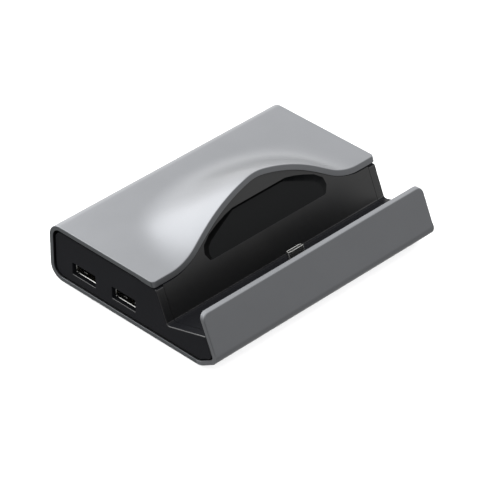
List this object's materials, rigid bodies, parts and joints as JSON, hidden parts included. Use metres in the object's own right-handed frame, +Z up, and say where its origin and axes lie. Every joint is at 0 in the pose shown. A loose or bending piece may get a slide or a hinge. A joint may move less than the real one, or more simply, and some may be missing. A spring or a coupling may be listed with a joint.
{
  "type": "usb-c desktop dock",
  "caption": "Low desktop dock with a wrap-round satin shell, a leaning back rest, a slot with an upright USB-C plug, and ports in its black end panels.",
  "frame": {"origin": "on the surface it stands on, under the middle of the dock's box", "axes": "+X along the dock, to the right seen from the front lip; +Y from the lip to the back; +Z up"},
  "size_m": [0.12, 0.0896, 0.0439],
  "materials": {
    "satin_grey": "satin, fine blasted, neutral grey",
    "black_plastic": "satin black moulding",
    "dark_plastic": "plain black moulding",
    "connector_plastic": "black connector plastic",
    "connector_steel": "plated steel",
    "dark_steel": "blackened steel",
    "aluminium": "plain aluminium",
    "brass": "plain brass",
    "board_green": "solder mask",
    "chip_black": "chip package",
    "rubber": "matt rubber",
    "thermal_pad": "soft silicone",
    "flex_film": "amber film"
  },
  "bodies": {
    "dock": {"ballast_left": "dark_steel", "ballast_right": "dark_steel", "board_nut_left": "brass", "board_nut_right": "brass", "board_screw_1": "dark_steel", "board_screw_2": "dark_steel", "board_screw_3": "dark_steel", "board_screw_4": "dark_steel", "capacitor_1": "aluminium", "capacitor_2": "aluminium", "capacitor_3": "aluminium", "capacitor_4": "aluminium", "case_screw_front_left": "connector_steel", "case_screw_front_right": "connector_steel", "case_screw_rear_left": "connector_steel", "case_screw_rear_right": "connector_steel", "cradle_body": "black_plastic", "crystal": "connector_steel", "flex_cable": "flex_film", "flex_connector": "connector_plastic", "foot_front_left": "rubber", "foot_front_right": "rubber", "foot_rear_left": "rubber", "foot_rear_right": "rubber", "hdmi_shell": "connector_steel", "hdmi_tongue": "connector_plastic", "heat_spreader": "aluminium", "hub_chip": "chip_black", "inductor_1": "dark_steel", "inductor_2": "dark_steel", "inlet_shell": "connector_steel", "inlet_tongue": "connector_plastic", "inner_tray": "dark_plastic", "left_panel": "black_plastic", "main_board": "board_green", "pivot_bracket": "dark_steel", "pivot_pin": "connector_steel", "power_chip_inlet": "chip_black", "power_chip_plug": "chip_black", "return_spring": "connector_steel", "right_panel": "black_plastic", "thermal_pad": "thermal_pad", "usb_a_shell_front": "connector_steel", "usb_a_shell_rear": "connector_steel", "usb_a_tongue_front": "connector_plastic", "usb_a_tongue_rear": "connector_plastic", "video_chip": "chip_black", "wrap_cover": "satin_grey"},
    "plug": {"plug_shell": "connector_steel", "plug_insulator": "connector_plastic", "plug_carrier": "black_plastic", "plug_board": "board_green"}
  },
  "joints": [
    {"name": "plug_rock", "type": "hinge", "parent": "dock", "child": "plug", "pos_m": [0, -0.03161, 0.00744], "axis": [1, 0, 0], "range_deg": [-5, 5], "stiffness_Nm_per_rad": 0.05}
  ]
}
